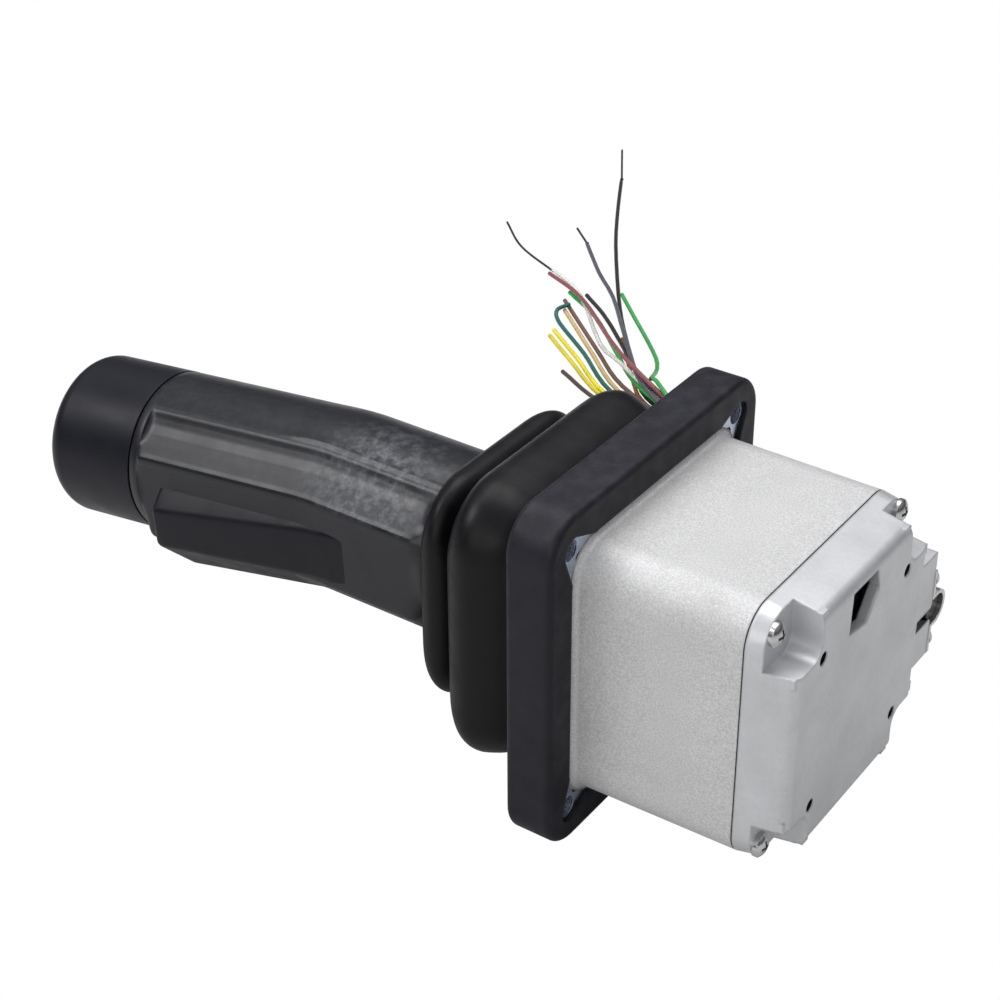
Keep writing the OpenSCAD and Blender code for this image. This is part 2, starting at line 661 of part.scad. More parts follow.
// One cross section of the trigger at distance s along the grip
module trigger_section(s, back, ridge, front, flat) translate([0, 0, s]) linear_extrude(0.1)
    polygon([[back, -trigger_half], [ridge, -trigger_half], [front, -flat], [front, flat],
        [ridge, trigger_half], [back, trigger_half]]);

module trigger_lever() lay() color("#1c1c22") on_grip() difference() {
    union() {
        hull() {
            trigger_section(trigger_from, 6.6, 14.2, 24.2, 6);
            trigger_section(trigger_bend_s, trigger_low, 14.8, 23.8, 7);
        }
        hull() {
            trigger_section(trigger_bend_s, trigger_low, 14.8, 23.8, 7);
            trigger_section(trigger_to - 0.1, trigger_high, 19.6, nose_front + 2.6, 8.8);
        }
    }
    translate([trigger_pin_u, 0, trigger_pin_s]) rotate([90, 0, 0])
        cylinder(r = trigger_pin_d / 2 + running_gap, h = 3 * trigger_half, center = true);
}

module trigger_pin() lay() color("gainsboro") on_grip()
    translate([trigger_pin_u, 0, trigger_pin_s]) rotate([90, 0, 0])
        cylinder(d = trigger_pin_d, h = 2 * trigger_pin_half, center = true);

module trigger_spring() lay() color("gainsboro") on_grip()
    translate([pocket_u - 2, 0, trigger_spring_s]) rotate([0, 90, 0]) coil(2.4, 0.7, 2.1, 2.5);

module microswitch() lay() color("#202020") on_grip() difference() {
    translate([switch_u - switch_h, -switch_half, switch_s - switch_len / 2])
        cube([switch_h, 2 * switch_half, switch_len]);
    translate([switch_u - 4, 0, switch_s]) rotate([0, 90, 0]) cylinder(r = plunger_r + seat_gap, h = 5);
}

function trigger_back(s) = trigger_low
    + (trigger_high - trigger_low) * (s - trigger_bend_s) / (trigger_to - trigger_bend_s);
module switch_plunger() lay() color("firebrick") on_grip()
    translate([switch_u - 2.2, 0, switch_s]) rotate([0, 90, 0])
        cylinder(r = plunger_r, h = trigger_back(switch_s - plunger_r) - switch_u + 2.2 - 0.12);

// Round cord swept along a route; radii holds one radius for each point
sides_n = 8;
function unit(v) = v / norm(v);
function heading(p, i) = unit(p[min(i + 1, len(p) - 1)] - p[max(i - 1, 0)]);
function cord_ring(c, t, r) =
    let (side = unit(cross(t, abs(t[2]) > 0.9 ? [1, 0, 0] : [0, 0, 1])), up = cross(side, t))
    [for (j = [0 : sides_n - 1]) c + r * (cos(360 * j / sides_n) * side + sin(360 * j / sides_n) * up)];
module cord(route, radii) {
    n = len(route);
    points = [for (i = [0 : n - 1]) each cord_ring(route[i], heading(route, i), radii[i])];
    sides = [for (i = [0 : n - 2], j = [0 : sides_n - 1])
        let (k = (j + 1) % sides_n)
        [i * sides_n + j, (i + 1) * sides_n + j, (i + 1) * sides_n + k, i * sides_n + k]];
    polyhedron(points, concat(sides, [[for (j = [0 : sides_n - 1]) j],
        [for (j = [sides_n - 1 : -1 : 0]) (n - 1) * sides_n + j]]));
}
// Insulated core lying on the table, with a bare tip of tip_n points
module core(tint, route, tip_n = 0) color(tint)
    cord([for (p = route) len(p) == 3 ? p : [p[0], p[1], core_z]],
        [for (i = [0 : len(route) - 1]) i >= len(route) - tip_n ? 0.4 : core_d / 2]);

module cable_jacket() color("#202024") cord(jacket_route, [for (p = jacket_route) cable_d / 2]);

// Where the cores leave the jacket: distance from its centre and direction round it
core_start = [-70, 135, -40.5];
core_dir = unit([-15, 9.5, 0]);
core_side = [-core_dir[1], core_dir[0], 0];
function from_jacket(out, turn) = core_start + fit_gap * core_dir
    - out * cos(turn) * core_side + [0, 0, out * sin(turn)];

module wire_black() core("#15151a", [from_jacket(2.75, 306), [-91, 147.5, -42.3],
    [-100, 156.5, -41.8], [-121, 182, -42.3], [-137, 204], [-159, 237], [-174, 262],
    [-187, 285], [-188, 287], [-203, 311]], 2);
module wire_grey() core("#50505a", [from_jacket(1.1, 90), [-92, 145.5, -36.3],
    [-112, 168, -36.05], [-136, 199, -41.8], [-152, 215], [-167, 231], [-168, 232.2],
    [-178, 241]], 2);
module wire_white() core("#e6e6e2", [from_jacket(1.1, 0), [-105, 155, -38.05],
    [-122, 169, -42.05], [-146, 194, -41.55], [-164, 206, -42.8], [-165.5, 206.8], [-186, 217],
    [-202, 231]], 3);
module wire_pink() core("#8a4a50", [from_jacket(2.75, 54), [-104, 153, -33.3],
    [-136, 184, -39.3], [-150, 195, -41.05], [-165, 203.5, -42.55]]);
module wire_green() core("#28b04a", [from_jacket(2.75, 342), [-96, 150, -40.55],
    [-115, 168, -42.8], [-134, 185.5], [-152, 196.5]]);
module wire_dark() core("#2c2624", [from_jacket(2.75, 18), [-95, 150.5, -37.3],
    [-115, 170.5, -40.3], [-131, 187], [-146, 198]]);
module wire_brown() core("#6e5248", [from_jacket(1.1, 270), [-101, 149.5, -42.3], [-122, 167],
    [-150, 190.5]]);
module wire_beige() core("#cdb27a", [from_jacket(2.75, 234), [-102, 148], [-123, 165],
    [-146, 184.5]]);
module wire_teal() core("#14625a", [from_jacket(2.75, 126), [-103, 146], [-124, 162.5],
    [-142, 175.5], [-146.5, 180.5, -41.8], [-145.5, 186.5, -41.8]]);
module wire_yellow_long() core("#e8d81e", [from_jacket(1.1, 180), [-103, 143.5], [-124, 158.5],
    [-141, 170.5]]);
module wire_yellow_short() core("#d8c818", [from_jacket(2.75, 162), [-103, 141.5, -43.05],
    [-125, 156], [-140, 166.5]]);
module wire_stub() core("#4a3a30", [from_jacket(2.75, 198), [-103, 139], [-123, 148.5]]);
module wire_orange() core("#a8662c", [from_jacket(2.75, 270), [-91, 146], [-100, 154.5],
    [-119, 178]]);
module wire_green_loop() core("#35a04c", [from_jacket(2.75, 90), [-86, 144.5, -33.3],
    [-93, 153, -38.8], [-99, 167], [-106, 176], [-122, 190.5, -42.05], [-135, 203, -42.05]]);

housing();
mounting_plate();
plate_screws();
boot_frame();
boot_lower();
boot_upper();
cover_gasket();
cover();
cover_screws();
cable_saddle();
saddle_screws();
circuit_board();
board_terminals();
board_spacers();
centring_cup();
cup_screws();
bearing_bushes();
sensor_x();
gimbal_ring();
gimbal_pins();
lever_bushes();
sensor_y();
lever_shaft();
lever_pin();
centring_spring();
centring_plunger();
grip_insert();
grip_body();
grip_cap();
trigger_lever();
trigger_pin();
trigger_spring();
microswitch();
switch_plunger();
cable_jacket();
wire_black();
wire_grey();
wire_white();
wire_pink();
wire_green();
wire_dark();
wire_brown();
wire_beige();
wire_teal();
wire_yellow_long();
wire_yellow_short();
wire_stub();
wire_orange();
wire_green_loop();
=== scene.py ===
# %% [markdown]
# The frame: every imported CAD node, in metres, in the row frame (+X to the housing, +Z up, part on its side).
# %% Load the frame
import bpy, bmesh, json, math
from mathutils import Vector, Matrix

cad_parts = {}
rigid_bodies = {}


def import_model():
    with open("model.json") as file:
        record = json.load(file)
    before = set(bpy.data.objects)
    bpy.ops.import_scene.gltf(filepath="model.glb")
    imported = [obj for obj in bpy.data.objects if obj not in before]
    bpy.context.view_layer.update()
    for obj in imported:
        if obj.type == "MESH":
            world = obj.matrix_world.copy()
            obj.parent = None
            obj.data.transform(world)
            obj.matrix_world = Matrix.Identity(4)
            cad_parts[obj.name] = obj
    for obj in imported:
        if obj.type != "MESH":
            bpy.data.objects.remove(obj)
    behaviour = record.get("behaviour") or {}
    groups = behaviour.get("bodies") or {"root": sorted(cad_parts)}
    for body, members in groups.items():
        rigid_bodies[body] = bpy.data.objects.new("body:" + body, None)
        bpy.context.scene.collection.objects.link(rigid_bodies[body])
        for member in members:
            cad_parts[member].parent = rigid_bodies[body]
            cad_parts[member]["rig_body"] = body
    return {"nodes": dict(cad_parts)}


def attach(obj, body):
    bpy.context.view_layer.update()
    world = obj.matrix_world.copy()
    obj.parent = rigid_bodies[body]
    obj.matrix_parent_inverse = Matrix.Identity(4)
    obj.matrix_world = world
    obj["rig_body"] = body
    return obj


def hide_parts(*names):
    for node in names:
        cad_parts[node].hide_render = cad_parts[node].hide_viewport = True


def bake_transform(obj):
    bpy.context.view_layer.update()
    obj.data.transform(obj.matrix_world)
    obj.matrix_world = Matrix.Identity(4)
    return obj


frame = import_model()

nodes = frame["nodes"]
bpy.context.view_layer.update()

# %% [markdown]
# Camera: solved from the photo's flange holes, cover screws and plate edges, level to half a degree.
# %% Camera
FORWARD = Vector((-0.4881, 0.6905, -0.5338)).normalized()
RIGHT = Vector((0.8188, 0.5741, -0.006)).normalized()
UP = RIGHT.cross(FORWARD).normalized()
RIGHT = FORWARD.cross(UP)
eye = bpy.data.objects.new("camera", bpy.data.cameras.new("camera"))
bpy.context.collection.objects.link(eye)
turn = Matrix((RIGHT, UP, -FORWARD)).transposed().to_4x4()
eye.matrix_world = Matrix.Translation((0.2005, -0.3442, 0.2802)) @ turn
eye.data.lens, eye.data.sensor_width, eye.data.clip_start = 75.7, 36.0, 0.01
bpy.context.scene.camera = eye
bpy.context.scene.view_settings.view_transform = "Standard"
print("camera at", [round(v, 3) for v in eye.location])


# %% [markdown]
# Helpers. All lengths inside the helpers are in metres; mm() turns the CAD's millimetres into them.
# upright() puts a point of the CAD's upright drawing, lever along +Z, into the row frame.
# %% Helpers
def mm(*v):
    return tuple(x * 0.001 for x in v)


def upright(x, y, z):
    return Vector((-z, y, x)) * 0.001


def rgb(code):
    parts = [int(code[i:i + 2], 16) / 255 for i in (1, 3, 5)]
    return [c / 12.92 if c <= 0.04045 else ((c + 0.055) / 1.055) ** 2.4 for c in parts] + [1.0]


def add(name, verts, faces, body, replaces=(), material=None):
    """One new mesh piece that rides on a body and stands for CAD nodes."""
    mesh = bpy.data.meshes.new(name)
    mesh.from_pydata([tuple(v) for v in verts], [], faces)
    mesh.update()
    obj = bpy.data.objects.new(name, mesh)
    bpy.context.collection.objects.link(obj)
    for poly in mesh.polygons:
        poly.use_smooth = True
    if material:
        mesh.materials.append(material)
    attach(obj, body)
    if replaces:
        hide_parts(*replaces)
    return obj


def tube(name, points, diameter, body, material, replaces=()):
    """A round cord or rod along points, as one open curve."""
    curve = bpy.data.curves.new(name, "CURVE")
    curve.dimensions, curve.use_fill_caps = "3D", True
    curve.bevel_depth, curve.bevel_resolution = diameter / 2, 4
    line = curve.splines.new("POLY")
    line.points.add(len(points) - 1)
    for p, q in zip(line.points, points):
        p.co = (*q, 1.0)
    obj = bpy.data.objects.new(name, curve)
    bpy.context.collection.objects.link(obj)
    curve.materials.append(material)
    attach(obj, body)
    if replaces:
        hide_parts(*replaces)
    return obj


def through(points, steps):
    """A smooth curve through all the points, steps pieces to a span."""
    p = [Vector(q) for q in points]
    p = [p[0] * 2 - p[1]] + p + [p[-1] * 2 - p[-2]]
    out = []
    for i in range(1, len(p) - 2):
        a, b, c, d = p[i - 1:i + 3]
        for k in range(steps):
            t = k / steps
            out.append(0.5 * (2 * b + (c - a) * t + (2 * a - 5 * b + 4 * c - d) * t * t
                              + (3 * b - a - 3 * c + d) * t ** 3))
    return out + [p[-2]]


# %% [markdown]
# Materials. surface() builds every one: a base colour that drifts by mottle over a few millimetres, fine
# speckle, roughness that varies over a similar scale, a grain bump with a real depth, and rounded edges by the
# Bevel node. The top tint (colour, strength, scale) lightens faces that point up, and can end in a spot and its
# radius; on the grip that spot is rubbed wear with painted sheen. Scales are in millimetres, in object
# coordinates.
# %% Materials
def surface(name, colour, rough, metal=0.0, mottle=(6, 0.1), speckle=(0.5, 0.0), grain=(0.4, 0.01),
            edge=0.3, coat=0.0, top_tint=None, specular=0.5):
    m = bpy.data.materials.new(name)
    m.use_nodes = True
    t = m.node_tree
    link, new = t.links.new, t.nodes.new
    b = t.nodes["Principled BSDF"]
    where = new("ShaderNodeTexCoord")

    def noise(size_mm, detail=3.0, roughness=0.55):
        n = new("ShaderNodeTexNoise")
        n.inputs["Scale"].default_value = 1000.0 / size_mm
        n.inputs["Detail"].default_value = detail
        n.inputs["Roughness"].default_value = roughness
        link(where.outputs["Object"], n.inputs["Vector"])
        return n.outputs["Fac"]

    def span(value, low, high, a=0.3, b=0.7):
        r = new("ShaderNodeMapRange")
        r.inputs["From Min"].default_value, r.inputs["From Max"].default_value = a, b
        r.inputs["To Min"].default_value, r.inputs["To Max"].default_value = low, high
        link(value, r.inputs["Value"])
        return r.outputs["Result"]

    def times(x, y):
        n = new("ShaderNodeMath")
        n.operation = "MULTIPLY"
        link(x, n.inputs[0])
        link(y, n.inputs[1])
        return n.outputs[0]

    broad = noise(mottle[0])
    fine = noise(speckle[0], 2.0, 0.7)
    tone = times(span(broad, 1 - mottle[1], 1 + mottle[1]), span(fine, 1 - speckle[1], 1 + speckle[1]))
    shade = new("ShaderNodeHueSaturation")
    shade.inputs["Color"].default_value = rgb(colour)
    link(tone, shade.inputs["Value"])
    link(span(noise(mottle[0] * 0.6), rough * 0.85, min(1.0, rough * 1.15)), b.inputs["Roughness"])
    paint = shade.outputs["Color"]
    if top_tint:
        geo = new("ShaderNodeNewGeometry")
        up = new("ShaderNodeSeparateXYZ")
        link(geo.outputs["Normal"], up.inputs["Vector"])
        patches = span(noise(top_tint[2], 4.0, 0.6), 0.0, top_tint[1], 0.42, 0.72)
        mask = times(span(up.outputs["Z"], 0.0, 1.0, 0.1, 0.9), patches)
        if len(top_tint) > 3:
            # only round one spot (on the grip: rubbed wear with painted sheen), which fades out at its radius
            off = new("ShaderNodeVectorMath")
            off.operation = "DISTANCE"
            link(where.outputs["Object"], off.inputs[0])
            off.inputs[1].default_value = top_tint[3]
            mask = times(mask, span(off.outputs["Value"], 1.0, 0.08, top_tint[4] * 0.35, top_tint[4]))
        mix = new("ShaderNodeMix")
        mix.data_type = "RGBA"
        link(mask, mix.inputs[0])
        link(paint, mix.inputs[6])
        mix.inputs[7].default_value = rgb(top_tint[0])
        paint = mix.outputs[2]
    link(paint, b.inputs["Base Color"])
    b.inputs["Metallic"].default_value = metal
    b.inputs["Coat Weight"].default_value = coat
    b.inputs["Coat Roughness"].default_value = 0.25
    b.inputs["Specular IOR Level"].default_value = specular
    round_edge = new("ShaderNodeBevel")
    round_edge.samples = 4
    round_edge.inputs["Radius"].default_value = edge * 0.001
    bump = new("ShaderNodeBump")
    bump.inputs["Distance"].default_value = grain[1] * 0.001
    bump.inputs["Strength"].default_value = 1.0
    link(noise(grain[0], 3.0, 0.6), bump.inputs["Height"])
    link(round_edge.outputs["Normal"], bump.inputs["Normal"])
    link(bump.outputs["Normal"], b.inputs["Normal"])
    return m


# middle of the grip's lighter spot: rubbed wear from the hand, with painted sheen of a highlight
RUBBED_SHEEN_SPOT = upright(15.5, -12.7, 71)
M = {
    # blasted cast aluminium: pale, matt, coarse speckle
    "cast": surface("blasted_cast_aluminium", "#c6c6c6", 0.62, 0.4, (14, 0.03), (0.4, 0.2), (0.42, 0.09), 0.6),
    # smoother cast aluminium of the cover, slightly lilac
    "cover": surface("smooth_cast_aluminium", "#c6c7c9", 0.42, 0.6, (14, 0.07), (1.2, 0.03), (0.9, 0.03), 0.8),
    # bright zinc plating, faintly blue
    "zinc": surface("bright_zinc", "#b9c2d2", 0.24, 1.0, (4, 0.15), (0.8, 0.08), (0.6, 0.01), 0.3),
    # nickel plated screws and strap
    "nickel": surface("nickel_plate", "#c9c9c8", 0.2, 1.0, (3, 0.12), (0.6, 0.05), (0.4, 0.004), 0.25),
    # turned steel inside
    "steel": surface("turned_steel", "#a2a5aa", 0.32, 1.0, (5, 0.1), (0.6, 0.05), (0.3, 0.004), 0.3),
    "spring": surface("spring_wire", "#a9abae", 0.28, 1.0, (3, 0.1), (0.4, 0.05), (0.3, 0.002), 0.1),
    "black_steel": surface("black_oxide_steel", "#3a3b40", 0.4, 0.9, (3, 0.15), (0.5, 0.1), (0.3, 0.004), 0.2),
    "bronze": surface("sintered_bronze", "#a8854f", 0.45, 1.0, (2, 0.15), (0.4, 0.12), (0.3, 0.006), 0.2),
    # boot rubber: satin black, a little lighter on what faces up
    "boot": surface("boot_rubber", "#050507", 0.4, 0.0, (8, 0.25), (0.8, 0.06), (0.35, 0.008), 0.4,
                    top_tint=("#24242b", 0.4, 7), specular=0.2),
    # frame rubber: bluish black, a little lighter on top
    "frame": surface("frame_rubber", "#15141c", 0.5, 0.0, (10, 0.16), (0.7, 0.08), (0.45, 0.016), 0.8,
                     top_tint=("#34343f", 0.5, 5), specular=0.25),
    "gasket": surface("gasket_rubber", "#141416", 0.7, 0.0, (4, 0.1), (0.6, 0.08), (0.4, 0.01), 0.1),
    # grip plastic: satin black; its lighter spot is partly rubbed wear and partly painted sheen
    "grip": surface("grip_plastic", "#101117", 0.33, 0.0, (12, 0.18), (0.8, 0.05), (0.5, 0.012), 0.4,
                    top_tint=("#8a8d95", 0.42, 2.0, RUBBED_SHEEN_SPOT, 0.022), specular=0.42),
    # smoother moulded plastic of the end cap, faintly blue
    "cap": surface("cap_plastic", "#0d0e17", 0.4, 0.0, (14, 0.08), (0.7, 0.03), (0.4, 0.006), 0.5,
                   specular=0.25),
    "trigger": surface("trigger_plastic", "#0c0a14", 0.4, 0.0, (9, 0.12), (0.7, 0.05), (0.45, 0.01), 0.5,
                       specular=0.25),
    "acetal": surface("white_acetal", "#d6d5cc", 0.4, 0.0, (5, 0.05), (0.6, 0.03), (0.4, 0.005), 0.3),
    "nylon": surface("black_nylon", "#2a2a2e", 0.5, 0.0, (5, 0.1), (0.6, 0.05), (0.4, 0.01), 0.3),
    "sensor": surface("sensor_case_plastic", "#2f4860", 0.42, 0.0, (5, 0.08), (0.6, 0.04), (0.4, 0.008), 0.3),
    "button": surface("red_button_plastic", "#8a2a24", 0.35, 0.0, (3, 0.08), (0.5, 0.04), (0.3, 0.004), 0.2),
    "board": surface("solder_mask", "#1b5232", 0.3, 0.0, (3, 0.15), (0.7, 0.08), (0.5, 0.006), 0.1, coat=0.4),
    "tin": surface("tinned_terminals", "#b4b6ba", 0.3, 1.0, (2, 0.15), (0.4, 0.08), (0.3, 0.004), 0.2),
    "jacket": surface("pvc_jacket", "#1d1d20", 0.5, 0.0, (6, 0.1), (0.5, 0.05), (0.5, 0.01), 0.1),
    # painted shade: a near-black lining for the cover's tapped holes, which fall in shade
    "hole_shade": surface("painted_hole_shade", "#0b0b0d", 0.5, 0.0, (2, 0.2), (0.4, 0.1), (0.3, 0.01), 0.1, specular=0.3),
    "copper": surface("bare_strand", "#4a4448", 0.45, 0.8, (2, 0.25), (0.4, 0.2), (0.3, 0.02), 0.0),
}
KEEP = {
    "housing": "cast", "cover": "cover", "mounting_plate": "zinc", "plate_screws": "black_steel",
    "cover_gasket": "gasket", "cover_screws": "nickel", "cable_saddle": "nickel", "saddle_screws": "nickel",
    "circuit_board": "board", "board_terminals": "tin", "board_spacers": "acetal", "centring_cup": "nylon",
    "cup_screws": "nickel", "bearing_bushes": "bronze", "sensor_x": "sensor", "gimbal_ring": "steel",
    "gimbal_pins": "steel", "lever_bushes": "bronze", "sensor_y": "sensor", "lever_shaft": "steel",
    "lever_pin": "steel", "centring_spring": "spring", "centring_plunger": "acetal", "grip_insert": "bronze",
    "grip_body": "grip", "grip_cap": "cap", "trigger_lever": "trigger", "trigger_pin": "steel",
    "trigger_spring": "spring", "microswitch": "nylon", "switch_plunger": "button", "boot_frame": "frame",
    "boot_lower": "boot", "boot_upper": "boot",
}
for name, key in KEEP.items():
    slots = nodes[name].data.materials
    slots.clear()
    slots.append(M[key])
print("materials", len(bpy.data.materials))

# %% [markdown]
# Threads of the four flange holes: a fine bright helix just inside each wall. The cover's tapped holes are
# lined with a near-black sheet, painted shade, so that they look dark as they do in shade.
# %% Threads
turns, steps, thread_r, pitch = 5, 24, 2.42, 0.4
def corners(at):
    return [(at, at), (at, -at), (-at, at), (-at, -at)]


FLANGE_AT, COVER_AT = 35, 19.75
for i, (y, z) in enumerate(corners(FLANGE_AT)):
    coil = [mm(-0.25 - pitch * k / steps, y + thread_r * math.cos(2 * math.pi * k / steps),
               z + thread_r * math.sin(2 * math.pi * k / steps)) for k in range(turns * steps)]
    tube("thread_%d" % i, coil, 0.00016, "base", M["zinc"])
# painted shade: a dark lining tube in each of the cover's tapped holes
for i, (y, z) in enumerate(corners(COVER_AT)):
    rim = [(y + 1.62 * math.cos(math.pi * k / 12), z + 1.62 * math.sin(math.pi * k / 12)) for k in range(24)]
    verts = [mm(x, *p) for x in (52.6, 45.5) for p in rim]
    faces = [(k, (k + 1) % 24, 24 + (k + 1) % 24, 24 + k) for k in range(24)] + [tuple(range(24, 48))]
    add("tap_film_%d" % i, verts, faces, "base", (), M["hole_shade"])
print("threads", 4, "lined holes", 4)

# %% [markdown]
# Boot: two folds as one rubber skin in two lofts that meet in the valley. Each ring is a rounded square
# (height, half width, corner radius in mm). The lower loft runs from base to gimbal, the upper one on to
# the stick.
# %% Boot
SIDE_STEPS = 6  # spans on each straight side of a ring
WALL = 1.8      # thickness of the skin in mm


def square_ring(half, r, z, n=16):
    c = half - r

    def on(m, a):
        """A corner's centre towards m, and from it the radius towards a."""
        return c * 1.41421 * math.cos(m) + r * math.cos(a), c * 1.41421 * math.sin(m) + r * math.sin(a)

    out = []
    for q in range(4):
        for i in range(n + 1):
            a, m = math.radians(90 * q + 90 * i / n), math.radians(45 + 90 * q)
            out.append(upright(*on(m, a), z))
        nxt = math.radians(135 + 90 * q)
        a1 = math.radians(90 * q + 90)
        p, p_next = Vector(on(m, a1)), Vector(on(nxt, a1))
        for i in range(1, SIDE_STEPS):
            w = p.lerp(p_next, i / SIDE_STEPS)
            out.append(upright(w.x, w.y, z))
    return out


def loft(rings, closed=True, ends=False):
    """Quads between rings of the same length; closed joins the last ring to the first."""
    n, m = len(rings[0]), len(rings)
    verts = [p for ring in rings for p in ring]
    faces = []
    for k in range(m if closed else m - 1):
        for j in range(n):
            a, b = k * n + j, k * n + (j + 1) % n
            faces.append((b, a, ((k + 1) % m) * n + j, ((k + 1) % m) * n + (j + 1) % n))
    if ends:
        faces += [tuple(range(n)), tuple(range((m - 1) * n, m * n))[::-1]]
    return verts, faces


FRAME_H, LOW, HIGH, GRIP = 11, 37, 30, 21.2
BOOT_LOW = [(4, 33, 9), (FRAME_H - 0.4, 33, 9), (FRAME_H + 1.6, 32.4, 9.6), (FRAME_H + 4.2, 32.3, 10.5),
            (17.5, 33.1, 11.5), (20, 34.6, 12.8), (23, LOW - 1, 14.3), (27, LOW, 15), (30.5, LOW - 0.7, 15),
            (33.2, LOW - 2.8, 15.5), (35.3, LOW - 6, 16), (36.4, LOW - 9, 16), (36.75, LOW - 11, 16)]
BOOT_HIGH = [(36.85, LOW - 11, 16), (37.3, LOW - 10.2, 15.6), (38.2, HIGH - 1.9, 15), (40, HIGH - 0.4, 14.5),
             (42, HIGH, 14.5), (44.2, HIGH - 0.8, 15), (46, HIGH - 2.7, 16.5), (47.4, HIGH - 5.4, 18.5),
             (48.3, GRIP + 1.6, GRIP + 1.6), (50.3, GRIP + 0.9, GRIP + 0.9)]


def boot_skin(name, rings, bodies, node):
    fine = [tuple(p) for p in through(rings, 5)]
    outer = [square_ring(h, min(r, h - 0.01), z) for z, h, r in fine]
    inner = [square_ring(h - WALL, min(r - 1, h - WALL - 0.01), z) for z, h, r in reversed(fine)]
    obj = add(name, *loft(outer + inner), bodies[0], [node], M["boot"])
    del obj["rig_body"]
    obj.parent = None
    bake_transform(obj)
    return obj


boot_skin("boot_fold_low", BOOT_LOW, ("base", "gimbal"), "boot_lower")
boot_skin("boot_fold_high", BOOT_HIGH, ("gimbal", "stick"), "boot_upper")

# %% [markdown]
# Grip: one loft round the bent axis. The section is a circle with the nose that holds the trigger: flat front,
# bevel, rounded lip, and a soft hollow above the lip. The nose fades out just before the cap.
# %% Grip
BEND_Z, BEND, ARC = 88, math.radians(6), 60
RUN = ARC * math.tan(BEND / 2)
NOSE_TO, BODY_LEN = 52.3, 55
TURN = math.radians(225)


def grip_point(u, v, w, bend=True):
    """A point beside the grip's axis: u to the trigger, v sideways, w along the axis from the bend."""
    if w > RUN or not bend:
        x, z = u * math.cos(BEND) + w * math.sin(BEND), w * math.cos(BEND) - u * math.sin(BEND)
    elif w < -RUN:
        x, z = u, w
    else:
        a = BEND * (w + RUN) / (2 * RUN)
        x, z = ARC - (ARC - u) * math.cos(a), (ARC - u) * math.sin(a) - RUN
    return upright(x * math.cos(TURN) - v * math.sin(TURN), x * math.sin(TURN) + v * math.cos(TURN), z + BEND_Z)


# half outline of the nose in (u, v): front, bevel, lip, then the hollow that runs back into the circle
NOSE = [(24.2, 0), (24.2, 2.5), (24.2, 4.1), (23.95, 5), (23.4, 5.8), (20, 9.2), (16, 13.2), (12, 17.2),
        (10.3, 18.9), (9.5, 19.75), (9, 20.35), (8.4, 20.85), (7.6, 21.1), (6.5, 21.05), (3.6, 20.5),
        (1, 20.05), (-1.4, 19.9), (-3.4, 20.1), (-5, 20.45), (-6.6, 20.1)]
NOSE_POLAR = [(math.atan2(v, u), math.hypot(u, v)) for u, v in NOSE]


def nose_radius(a, r):
    a = abs(a)
    if a >= NOSE_POLAR[-1][0]:
        return r
    for (a0, r0), (a1, r1) in zip(NOSE_POLAR, NOSE_POLAR[1:]):
        if a0 <= a <= a1:
            # straight between the two points, in plain coordinates
            x0, y0, x1, y1 = r0 * math.cos(a0), r0 * math.sin(a0), r1 * math.cos(a1), r1 * math.sin(a1)
            cross = x0 * y1 - x1 * y0
            return cross / ((x0 - x1) * math.sin(a) + (y1 - y0) * math.cos(a))
    return r


half = sorted({a for a, _ in NOSE_POLAR} | {math.radians(d) for d in range(3, 180, 3)} | {0, math.pi}
              | {math.radians(64 + d * 0.5) for d in range(20)})
ANGLES = half + [-a for a in reversed(half[1:-1])]


def grip_ring(w, k, r):
    out = []
    for a in ANGLES:
        d = r + k * (nose_radius(a, r) - r)
        out.append(grip_point(d * math.cos(a), d * math.sin(a), w))
    return out


# along the axis: place from the bend, share of the nose, radius; the upper half is drawn 0.05 mm slimmer
rings = [grip_ring(w, k, r) for w, k, r in (
    [(-40, 0, 20.7), (-39.7, 0, GRIP), (-36.2, 0, GRIP), (-35.6, 0.3, GRIP), (-34.8, 0.62, GRIP),
     (-34, 0.86, GRIP), (-33, 1, GRIP)]
    + [(w, 1, GRIP) for w in range(-30, -6, 4)] + [(w * 1.0, 1, GRIP) for w in range(-6, 7)]
    + [(w, 1, 21.15) for w in range(10, 50, 4)]
    + [(NOSE_TO - 2 + 2 * math.sin(t), math.cos(t) ** 0.8, 21.15) for t in map(math.radians, range(0, 91, 10))]
    + [(NOSE_TO + 0.5, 0, 21.15), (BODY_LEN - 0.35, 0, 21.15), (BODY_LEN - 0.1, 0, 21.0), (BODY_LEN, 0, 20.7)])]
grip = add("grip_shell", *loft(rings, False, True), "stick", ["grip_body"], M["grip"])


def block(name, u, v, w, bevel=0.0):
    """A box in grip coordinates, as a cutter that never shows."""
    bm = bmesh.new()
    bmesh.ops.create_cube(bm, size=1)
    for p in bm.verts:
        at = [(low + high) / 2 + c * (high - low) for c, (low, high) in zip(p.co, (u, v, w))]
        p.co = Vector(at)
    if bevel:
        bmesh.ops.bevel(bm, geom=bm.edges[:], offset=bevel, segments=4, profile=0.5, affect="EDGES")
    for p in bm.verts:
        p.co = grip_point(*p.co, False)
    bmesh.ops.recalc_face_normals(bm, faces=bm.faces[:])
    mesh = bpy.data.meshes.new(name)
    bm.to_mesh(mesh)
    bm.free()
    obj = bpy.data.objects.new(name, mesh)
    bpy.context.collection.objects.link(obj)
    obj.hide_render = obj.hide_viewport = True
    return obj


POCKET_FROM, POCKET_TO, SWITCH_S = -21, NOSE_TO - 5, 2.3
SLOT = (SWITCH_S - 10.1, SWITCH_S + 10.1)
for name, u, v, w, bevel in (("trigger_pocket", (5.8, 45), (-17, 17), (POCKET_FROM, POCKET_TO), 1.2),
                             ("switch_slot", (-4.3, 8), (-3.25, 3.25), SLOT, 0.0)):
    cut = grip.modifiers.new(name, "BOOLEAN")
    cut.operation, cut.solver, cut.object = "DIFFERENCE", "EXACT", block(name + "_cutter", u, v, w, bevel)
print("grip rings", len(rings))

